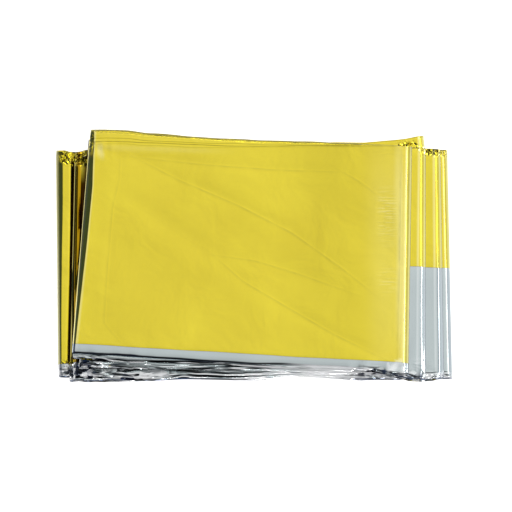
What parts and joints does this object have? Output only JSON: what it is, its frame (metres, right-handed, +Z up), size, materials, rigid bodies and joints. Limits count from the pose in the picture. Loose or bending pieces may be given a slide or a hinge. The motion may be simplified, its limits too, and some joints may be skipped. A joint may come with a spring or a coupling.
{
  "type": "emergency foil blanket",
  "caption": "Thin gold and silver film blanket, folded back and forth into a flat fanned stack that lies on its face.",
  "frame": {"origin": "middle of the stack's underside, on the surface it lies on", "axes": "+X along the folded panels, +Y across the strip they are folded from, +Z up out of the stack"},
  "size_m": [0.153, 0.098, 0.0166],
  "materials": {
    "gold_film": "metallised polyester film, mirror bright, gold on one side and silver on the other"
  },
  "bodies": {
    "root": {"foil_blanket": "gold_film"}
  },
  "joints": []
}
